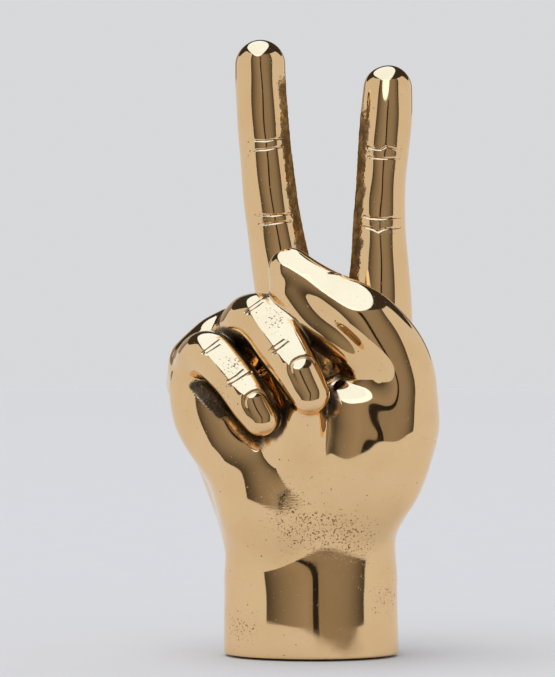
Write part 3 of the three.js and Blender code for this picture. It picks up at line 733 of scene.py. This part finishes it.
# The skin of the whole hand, cut into the skins of its castings
points, faces = skin(hand_field, SKIN_LOW, SKIN_HIGH, CELL)
points = settle(hand_field, points, passes=1)
for _ in range(REFINE_PASSES):
    points, faces = refine(points, faces, wants_detail(points))
points = settle(fine_field, points, passes=2)
for height in (RIM_HEIGHT + RIM_ROUND, WRIST_SEAM_HEIGHT):
    points, faces = cut(points, faces, points[:, 2] - height)
for name in DIGITS:
    points, faces = cut(points, faces, piece_levels(points)[name])
faces = faces[points[faces][:, :, 2].mean(1) > RIM_HEIGHT + RIM_ROUND]
levels = piece_levels(points)
owner = np.full(len(faces), "palm_section", dtype="U20")
for name in DIGITS:
    owner[levels[name][faces].mean(1) > 0] = name
owner[points[faces][:, :, 2].mean(1) < WRIST_SEAM_HEIGHT] = "wrist_section"
slope = slope_of(fine_field, points)
normals = slope / lengths(slope)[:, None]

# How deep each point lies in a crease, from 0 on open skin, and where the casting was left rough
# crease and hollow darken the polished brass in its material: partly patina, partly painted shade where
# light is shut out
crease = np.clip(1 - hand_field(points + CREASE_PROBE * normals) / CREASE_PROBE, 0, 1)
hollow = sum(np.clip(1 - hand_field(points + probe * normals) / probe, 0, 1) for probe in HOLLOW_PROBES)
hollow = np.clip(hollow / len(HOLLOW_PROBES), 0, 1)
hollow = np.maximum(hollow, deep_share(points))
raw = raw_share(points)
front_places = points[:, [0, 2]]
pitted = sum(bell(lengths(front_places - place), reach) for place, reach in PITTED_PLACES)
pitted = np.clip(pitted, 0, 1) * (points[:, 1] < 0)


def add_object(name, data):
    obj = bpy.data.objects.new(name, data)
    bpy.context.scene.collection.objects.link(obj)
    return obj


def grid_faces(rows, columns, closed):
    """Faces between the rows of a grid of points, whose rows may close on themselves."""
    made = []
    for i in range(rows - 1):
        for j in range(columns if closed else columns - 1):
            k, after = i * columns, (j + 1) % columns
            made.append((k + j, k + after, k + columns + after, k + columns + j))
    return made


def boundary_loops(faces):
    """The open edges of a surface, as closed rows of point numbers."""
    edges = np.vstack([faces[:, [0, 1]], faces[:, [1, 2]], faces[:, [2, 0]]])
    known = {(a, b) for a, b in edges.tolist()}
    following = {}
    for a, b in known:
        if (b, a) not in known:
            following.setdefault(a, []).append(b)
    loops = []
    while following:
        start = next(iter(following))
        loop = [start]
        while True:
            nexts = following[loop[-1]]
            after = nexts.pop()
            if not nexts:
                del following[loop[-1]]
            if after == start or after not in following:
                break
            loop.append(after)
        loops.append(loop)
    return loops


class Piece:
    """A closed mesh under construction: points, and faces with a normal for each of their corners."""

    def __init__(self, name):
        chosen = faces[owner == name]
        used = np.unique(chosen)
        number = np.full(len(points), -1)
        number[used] = np.arange(len(used))
        self.name = name
        self.points = points[used]
        self.faces = number[chosen]
        self.corner_normals = normals[chosen]
        shades = {"crease": crease, "hollow": hollow, "raw": raw, "pitted": pitted}
        self.values = {shade: rows[used] for shade, rows in shades.items()}

    def add(self, fresh, made):
        """Adds points and flat faces, whose numbers count on from the points there are."""
        self.points = np.vstack([self.points, fresh])
        self.values = {name: np.append(rows, np.zeros(len(fresh))) for name, rows in self.values.items()}
        p = self.points[made]
        flat = np.cross(p[:, 1] - p[:, 0], p[:, 2] - p[:, 0])
        flat /= np.maximum(lengths(flat), 1e-12)[:, None]
        self.faces = np.vstack([self.faces, made])
        self.corner_normals = np.concatenate([self.corner_normals, np.repeat(flat[:, None], 3, 1)])

    def cap(self, loop):
        """Closes an open edge with a fan of faces round its middle."""
        loop = np.array(loop)
        hub = len(self.points)
        after = np.roll(loop, -1)
        fan = np.stack([after, loop, np.full(len(loop), hub)], 1)
        self.add(self.points[loop].mean(0)[None], fan)

    def ring(self, loop, placed):
        """Adds a row of faces from an open edge to a new row of points, and gives the new edge."""
        loop = np.array(loop)
        fresh = len(self.points) + np.arange(len(loop))
        after, beyond = np.roll(loop, -1), np.roll(fresh, -1)
        made = np.vstack([np.stack([after, loop, fresh], 1), np.stack([after, fresh, beyond], 1)])
        self.add(placed, made)
        return fresh

    def build(self):
        mesh = bpy.data.meshes.new(self.name + "_skin")
        mesh.from_pydata((self.points * MM).tolist(), [], self.faces.tolist())
        mesh.polygons.foreach_set("use_smooth", np.ones(len(self.faces), bool))
        mesh.normals_split_custom_set(self.corner_normals.reshape(-1, 3).tolist())
        for name, rows in self.values.items():
            layer = mesh.attributes.new(name, "FLOAT", "POINT")
            layer.data.foreach_set("value", rows.astype(np.float32))
        return add_object(self.name + "_cast", mesh)


def inset(loop_points, distance, height):
    """The foot's edge drawn in towards the wrist's axis, at another height."""
    reach = lengths(loop_points[:, :2])[:, None]
    flat = loop_points[:, :2] * (1 - distance / reach)
    return np.column_stack([flat, np.full(len(flat), height)])


# The foot's rim rounds under and turns up behind the base plate, where the casting is closed
PLATE_SEAT_HEIGHT = 5.4
RIM_TURNS = (30, 60, 90)
castings = {}
for name in ("wrist_section", "palm_section", *DIGITS):
    piece = Piece(name)
    for loop in boundary_loops(piece.faces):
        edge = piece.points[loop]
        if name == "wrist_section" and edge[:, 2].mean() < WRIST_SEAM_HEIGHT / 2:
            for turn in RIM_TURNS:
                angle = math.radians(turn)
                drawn_in = RIM_ROUND * (1 - math.cos(angle))
                level = RIM_HEIGHT + RIM_ROUND * (1 - math.sin(angle))
                loop = piece.ring(loop, inset(edge, drawn_in, level))
            loop = piece.ring(loop, inset(edge, RIM_WIDTH, RIM_HEIGHT))
            loop = piece.ring(loop, inset(edge, RIM_WIDTH, PLATE_SEAT_HEIGHT))
        piece.cap(loop)
    castings[name] = piece.build()


# Materials

class Shader:
    """A node material and short ways to add nodes to it."""

    def __init__(self, name):
        self.material = bpy.data.materials.new(name)
        self.material.use_nodes = True
        self.tree = self.material.node_tree
        self.surface = self.tree.nodes["Principled BSDF"]

    def node(self, kind, **settings):
        made = self.tree.nodes.new(kind)
        for key, value in settings.items():
            setattr(made, key, value)
        return made

    def link(self, value, socket):
        if isinstance(value, bpy.types.NodeSocket):
            self.tree.links.new(value, socket)
        else:
            socket.default_value = value

    def give(self, name, value):
        """Sets one of the surface's own sockets, or links a node to it."""
        self.link(value, self.surface.inputs[name])

    def math(self, operation, *values):
        made = self.node("ShaderNodeMath", operation=operation)
        for value, socket in zip(values, made.inputs):
            self.link(value, socket)
        return made.outputs[0]

    def step(self, value, start, end, low=0.0, high=1.0):
        made = self.node("ShaderNodeMapRange", interpolation_type="SMOOTHSTEP")
        for socket, item in zip(made.inputs, (value, start, end, low, high)):
            self.link(item, socket)
        return made.outputs[0]

    def mix(self, share, first, second):
        made = self.node("ShaderNodeMix", data_type="RGBA")
        self.link(share, made.inputs[0])
        self.link(first, made.inputs[6])
        self.link(second, made.inputs[7])
        return made.outputs[2]

    def place(self):
        return self.node("ShaderNodeTexCoord").outputs["Object"]

    def noise(self, scale, detail=2.0, rough=0.5, stretch=None):
        made = self.node("ShaderNodeTexNoise")
        place = self.place()
        if stretch is not None:
            pulled = self.node("ShaderNodeVectorMath", operation="MULTIPLY")
            self.link(place, pulled.inputs[0])
            pulled.inputs[1].default_value = stretch
            place = pulled.outputs[0]
        self.link(place, made.inputs["Vector"])
        made.inputs["Scale"].default_value = scale
        made.inputs["Detail"].default_value = detail
        made.inputs["Roughness"].default_value = rough
        return made.outputs["Fac"]

    def cells(self, scale):
        made = self.node("ShaderNodeTexVoronoi")
        self.link(self.place(), made.inputs["Vector"])
        made.inputs["Scale"].default_value = scale
        return made.outputs["Distance"], made.outputs["Color"]

    def attribute(self, name):
        return self.node("ShaderNodeAttribute", attribute_name=name).outputs["Fac"]

    def bump(self, height, strength, distance, below=None):
        made = self.node("ShaderNodeBump")
        self.link(strength, made.inputs["Strength"])
        made.inputs["Distance"].default_value = distance
        self.link(height, made.inputs["Height"])
        if below is not None:
            self.link(below, made.inputs["Normal"])
        return made.outputs["Normal"]


BRASS = (0.94, 0.65, 0.345, 1)
BRASS_DEEP = (0.9, 0.605, 0.305, 1)
# Near-black brown in creases and hollows: partly patina, partly painted shade
PATINA_AND_SHADE = (0.07, 0.05, 0.032, 1)
PIT = (0.2, 0.12, 0.06, 1)
RAW_BRASS = (0.5, 0.3, 0.13, 1)
RAW_DARK = (0.13, 0.075, 0.035, 1)
EDGE_SHINE = (1, 1, 1, 1)
RAW_EDGE = (0.45, 0.3, 0.17, 1)
DRAWN_BRASS = (0.72, 0.52, 0.26, 1)
DRAWN_DARK = (0.55, 0.38, 0.17, 1)
STEEL = (0.62, 0.63, 0.65, 1)
STEEL_DARK = (0.48, 0.49, 0.5, 1)
FELT_DARK = (0.012, 0.012, 0.012, 1)
FELT_PALE = (0.06, 0.06, 0.058, 1)
TABLE_DARK = (0.69, 0.69, 0.705, 1)
TABLE_PALE = (0.71, 0.71, 0.725, 1)


def pits(shader, scale, share, size):
    """Small round casting flaws in a share of the cells of a pattern."""
    gap, colour = shader.cells(scale)
    chance = shader.node("ShaderNodeSeparateColor")
    shader.link(colour, chance.inputs[0])
    chosen = shader.math("LESS_THAN", chance.outputs[0], share)
    ragged = shader.math("ADD", gap, shader.math("MULTIPLY", shader.noise(4 * scale, 2), 0.25))
    return shader.math("MULTIPLY", shader.step(ragged, size, size + 0.12, 1, 0), chosen)


def polished_brass():
    shader = Shader("polished_brass")
    # Creases and hollows darken towards a near-black brown, mottled by noise: partly patina, partly
    # painted shade
    patina_and_shade_mottle = shader.math("MULTIPLY", shader.math("SUBTRACT", shader.noise(330, 4, 0.6), 0.5), 0.7)
    crease = shader.math("MULTIPLY", shader.attribute("crease"), 0.35)
    depth = shader.math("ADD", shader.attribute("hollow"), crease)
    patina_and_shade = shader.step(shader.math("ADD", depth, patina_and_shade_mottle), 0.48, 0.92)
    grit = shader.math("MULTIPLY_ADD", shader.noise(750, 5, 0.7), 1.4, -0.7)
    raw = shader.step(shader.math("ADD", shader.attribute("raw"), grit), 0.35, 0.65)
    pitted = shader.attribute("pitted")
    porous = shader.math("MULTIPLY_ADD", pitted, 0.13, shader.noise(1250, 3, 0.65))
    porous = shader.step(porous, 0.7, 0.76)
    coarse = shader.math("MULTIPLY_ADD", pitted, 0.12, 0.03)
    pit = shader.math("MAXIMUM", pits(shader, 620, coarse, 0.2), porous)
    tone = shader.mix(shader.step(shader.noise(60, 3), 0.35, 0.75), BRASS, BRASS_DEEP)
    raw_tone = shader.mix(shader.step(shader.noise(240, 4, 0.6), 0.4, 0.66), RAW_DARK, RAW_BRASS)
    tone = shader.mix(shader.math("MULTIPLY", raw, 0.85), tone, raw_tone)
    tone = shader.mix(shader.math("MULTIPLY", patina_and_shade, 0.88), tone, PATINA_AND_SHADE)
    tone = shader.mix(pit, tone, PIT)
    shader.give("Base Color", tone)
    shader.give("Metallic", 1)
    shader.give("Specular Tint", shader.mix(raw, EDGE_SHINE, RAW_EDGE))
    polish = shader.step(shader.noise(160, 4), 0.3, 0.8, 0.045, 0.08)
    dull = shader.math("MAXIMUM", patina_and_shade, raw)
    shader.give("Roughness", shader.math("MULTIPLY_ADD", dull, 0.33, polish))
    dents = shader.bump(pit, 0.6, -0.0002)
    worn = shader.math("MULTIPLY", pitted, 0.03)
    coarseness = shader.math("MAXIMUM", shader.math("MULTIPLY", dull, 0.8), worn)
    grain = shader.bump(shader.noise(1100, 4, 0.6), coarseness, 0.0003, dents)
    scratches = shader.noise(330, 3, 0.6, (1, 1, 7))
    brushed = shader.bump(scratches, shader.math("MULTIPLY", pitted, 0.22), 0.0002, grain)
    shader.give("Normal", brushed)
    return shader.material


def plain_metal(name, tones, mottle, grain, roughness):
    """Unpolished metal in two tones, mottled by a noise of the given scale and detail."""
    shader = Shader(name)
    shader.give("Base Color", shader.mix(shader.noise(*mottle), *tones))
    shader.give("Metallic", 1)
    shader.give("Roughness", shader.step(shader.noise(grain, 3), 0.3, 0.7, *roughness))
    return shader.material


def felt():
    shader = Shader("felt")
    fibre = shader.noise(2600, 4, 0.7)
    tone = shader.mix(fibre, FELT_DARK, FELT_PALE)
    shader.give("Base Color", tone)
    shader.give("Roughness", 0.95)
    shader.give("Normal", shader.bump(fibre, 0.6, 0.0004))
    return shader.material


# The felt's mesh, in metres: points round it, rows over its edge and across its faces, and unevenness
FELT_STEPS = 180
FELT_EDGE_ROWS = 7
FELT_SHARES = [0.06, 0.25, 0.45, 0.65, 0.82, 0.94]
FELT_ROUNDING = 0.45
FELT_RAGGED = 0.00012
FELT_NAP = 0.00006


def felt_piece(low, high):
    """The felt pad as it lies: an elliptic disc with soft, uneven edges and a nap on its underside."""
    centre, half = (low + high) / 2, (high - low) / 2
    rounding = FELT_ROUNDING * half.z
    rows = []
    for turn in np.linspace(-math.pi / 2, math.pi / 2, FELT_EDGE_ROWS):
        drawn = rounding * (1 - math.cos(turn))
        height = centre.z + (half.z - rounding) * np.sign(turn) + rounding * math.sin(turn)
        rows.append((1.0, drawn, height))
    rows = [(share, rows[0][1], rows[0][2]) for share in FELT_SHARES] + rows
    rows += [(share, rows[-1][1], rows[-1][2]) for share in FELT_SHARES[::-1]]
    around = np.linspace(0, 2 * math.pi, FELT_STEPS, endpoint=False)
    ragged = FELT_RAGGED * (np.sin(23 * around) + np.sin(37 * around + 1) + np.sin(71 * around + 2)) / 3
    places = []
    for share, drawn, height in rows:
        reach_x = share * (half.x - drawn - FELT_RAGGED + ragged)
        reach_y = share * (half.y - drawn - FELT_RAGGED + ragged)
        nap = FELT_NAP * np.sin(9 * around + 40 * share) * np.sin(17 * share + 5 * around)
        lift = np.maximum(height + nap, low.z) if height < centre.z else np.minimum(height + nap, high.z)
        ring = (centre.x + reach_x * np.cos(around), centre.y + reach_y * np.sin(around), lift)
        places += np.column_stack(ring).tolist()
    faces = grid_faces(len(rows), FELT_STEPS, closed=True)
    last = (len(rows) - 1) * FELT_STEPS
    faces.append(tuple(range(FELT_STEPS))[::-1])
    faces.append(tuple(range(last, last + FELT_STEPS)))
    mesh = bpy.data.meshes.new("felt_skin")
    mesh.from_pydata(places, [], faces)
    mesh.polygons.foreach_set("use_smooth", np.ones(len(faces), bool))
    return add_object("felt_disc", mesh)


def dress(obj, material):
    obj.data.materials.clear()
    obj.data.materials.append(material)


brass = polished_brass()
for name, obj in castings.items():
    dress(obj, brass)
    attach(obj, "root")
    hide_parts(name)
plain = {
    "drawn_brass": plain_metal("drawn_brass", (DRAWN_BRASS, DRAWN_DARK), (300, 4), 500, (0.25, 0.42)),
    "screw_steel": plain_metal("screw_steel", (STEEL, STEEL_DARK), (400, 3), 700, (0.2, 0.35)),
    "felt": felt(),
}
for row in frame["record"]["subparts"]:
    if row["material_slot"] in plain:
        dress(frame["nodes"][row["node"]], plain[row["material_slot"]])
felt_disc = felt_piece(*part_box("felt_pad"))
dress(felt_disc, plain["felt"])
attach(felt_disc, "root")
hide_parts("felt_pad")


# Stage: a pale table whose front edge is out of view, and a studio for polished metal

BACKDROP = (0.686, 0.690, 0.708)
TABLE_FRONT = -0.16
TABLE_REACH = 6.0
FLAG_RADIUS = 5.0
FLAG_CENTRE = np.array([0, 0, 0.11])
FLAG_COLOUR = np.array([1.0, 0.88, 0.74])
FLAG_STEPS = 61
FLAG_FOOT = -1.4
FLAG_BEHIND = (1.7, 2.3)
CENTRE_LEVELS = [0.02, 0.02]
TOP_LEVELS = [0.04, 0.04]
BACK_LEVELS = [0.14, 0.3, 0.4, 0.46, 0.42, 0.36, 0.16]
FRONT_LEVELS = [0.055, 0.15, 0.24, 0.29, 0.34, 0.27, 0.29, 0.28, 0.25, 0.16, 0.055]


def stage_mesh(name, places, quads, material):
    mesh = bpy.data.meshes.new(name)
    mesh.from_pydata(places, [], quads)
    mesh.materials.append(material)
    obj = add_object(name, mesh)
    return obj


def table_top():
    shader = Shader("table")
    tone = shader.mix(shader.noise(30, 3), TABLE_DARK, TABLE_PALE)
    shader.give("Base Color", tone)
    shader.give("Roughness", 0.9)
    shader.give("Specular IOR Level", 0.1)
    r = TABLE_REACH
    corners = [(-r, TABLE_FRONT, 0), (r, TABLE_FRONT, 0), (r, r, 0), (-r, r, 0)]
    stage_mesh("table", corners, [(0, 1, 2, 3)], shader.material)


def flag(name, turns, rises, levels, radius):
    """A faintly glowing dark card round the hand, out of the camera's sight, that only shows in the
    polish as a painted reflection.

    turns are the ends of its span round the hand, rises the angles of its foot, its top and its foot
    behind the hand, and levels its shade from side to side.
    """
    shader = Shader(name)
    shader.tree.nodes.remove(shader.surface)
    glow = shader.node("ShaderNodeEmission")
    shade = shader.node("ShaderNodeAttribute", attribute_name="shade")
    shader.link(shade.outputs["Color"], glow.inputs["Color"])
    shader.link(glow.outputs[0], shader.tree.nodes["Material Output"].inputs["Surface"])
    turn, share = np.meshgrid(np.linspace(*turns, FLAG_STEPS), np.linspace(0, 1, FLAG_STEPS))
    low = rises[0] + (rises[2] - rises[0]) * ramp(np.abs(turn), *FLAG_BEHIND)
    rise = low + share * (rises[1] - low)
    ways = np.stack([np.sin(turn) * np.cos(rise), -np.cos(turn) * np.cos(rise), np.sin(rise)], -1)
    places = FLAG_CENTRE + radius * ways.reshape(-1, 3)
    quads = grid_faces(FLAG_STEPS, FLAG_STEPS, closed=False)
    obj = stage_mesh(name, places.tolist(), quads, shader.material)
    shares = np.interp(np.linspace(0, 1, FLAG_STEPS), np.linspace(0, 1, len(levels)), levels)
    colours = np.tile(np.append(FLAG_COLOUR, 1), (FLAG_STEPS, FLAG_STEPS, 1))
    colours[..., :3] *= shares[None, :, None]
    layer = obj.data.attributes.new("shade", "FLOAT_COLOR", "POINT")
    layer.data.foreach_set("color", colours.astype(np.float32).ravel())
    obj.visible_camera = False
    obj.visible_diffuse = False
    obj.visible_shadow = False


table_top()
# The cards glow faintly and are seen only in the polish: painted reflections of the room's darker parts
flag("front_flag", (-0.82, 1.02), (FLAG_FOOT, 0.82, FLAG_FOOT), FRONT_LEVELS, FLAG_RADIUS)
flag("centre_flag", (0.03, 0.13), (FLAG_FOOT, 0.6, FLAG_FOOT), CENTRE_LEVELS, 0.97 * FLAG_RADIUS)
flag("back_flag", (math.pi - 0.55, math.pi + 0.7), (0, 0.8, 0.09), BACK_LEVELS, FLAG_RADIUS)
flag("top_flag", (-math.pi, math.pi), (0.78, 1.57, 0.36), TOP_LEVELS, 0.98 * FLAG_RADIUS)

world = bpy.data.worlds.new("studio")
bpy.context.scene.world = world
world.use_nodes = True
world.node_tree.nodes["Background"].inputs["Color"].default_value = (*BACKDROP, 1)

# A softbox overhead, which shows in the polish, and a key light that draws the shadow
SOFTBOX_DISTANCE = 2.5
SOFTBOX_LEVEL = 2.05
SOFTBOX_COLOUR = (0.49, 0.67, 1.0)
SOFTBOX_WIDTH = 3.1
SOFTBOX_LENGTH = 6.5
SOFTBOX_PLACE = (-0.5, -0.25)
KEY_ANGLE = 50
KEY_TILT = 12
KEY_ROLL = -14


def lamp(name, kind, **settings):
    light = bpy.data.lights.new(name, kind)
    for key, value in settings.items():
        setattr(light, key, value)
    return add_object(name, light)


softbox_area = math.pi / 4 * SOFTBOX_WIDTH * SOFTBOX_LENGTH
softbox = lamp("softbox", "AREA", shape="ELLIPSE", size=SOFTBOX_WIDTH, size_y=SOFTBOX_LENGTH,
               energy=SOFTBOX_LEVEL * math.pi * softbox_area, color=SOFTBOX_COLOUR)
softbox.location = (*SOFTBOX_PLACE, FLAG_CENTRE[2] + SOFTBOX_DISTANCE)
softbox.visible_diffuse = False
key = lamp("soft_key", "SUN", energy=1.0, angle=math.radians(KEY_ANGLE))
key.rotation_euler = (math.radians(KEY_TILT), math.radians(KEY_ROLL), 0)
key.visible_glossy = False

# The camera, level with the middle of the image, which is IMAGE_HEIGHT pixels high
CAMERA_DISTANCE = 1.1
CAMERA_SIDE = -0.0120
CAMERA_HEIGHT = 0.114
SENSOR_WIDTH = 36
IMAGE_HEIGHT = 677
MM_PER_PIXEL = 0.36
camera_data = bpy.data.cameras.new("camera")
camera_data.sensor_width = SENSOR_WIDTH
camera_data.lens = SENSOR_WIDTH * CAMERA_DISTANCE / (IMAGE_HEIGHT * MM_PER_PIXEL * MM)
camera = add_object("camera", camera_data)
camera.location = (CAMERA_SIDE, -CAMERA_DISTANCE, CAMERA_HEIGHT)
camera.rotation_euler = (math.pi / 2, 0, 0)
bpy.context.scene.camera = camera
bpy.context.scene.view_settings.view_transform = "Standard"
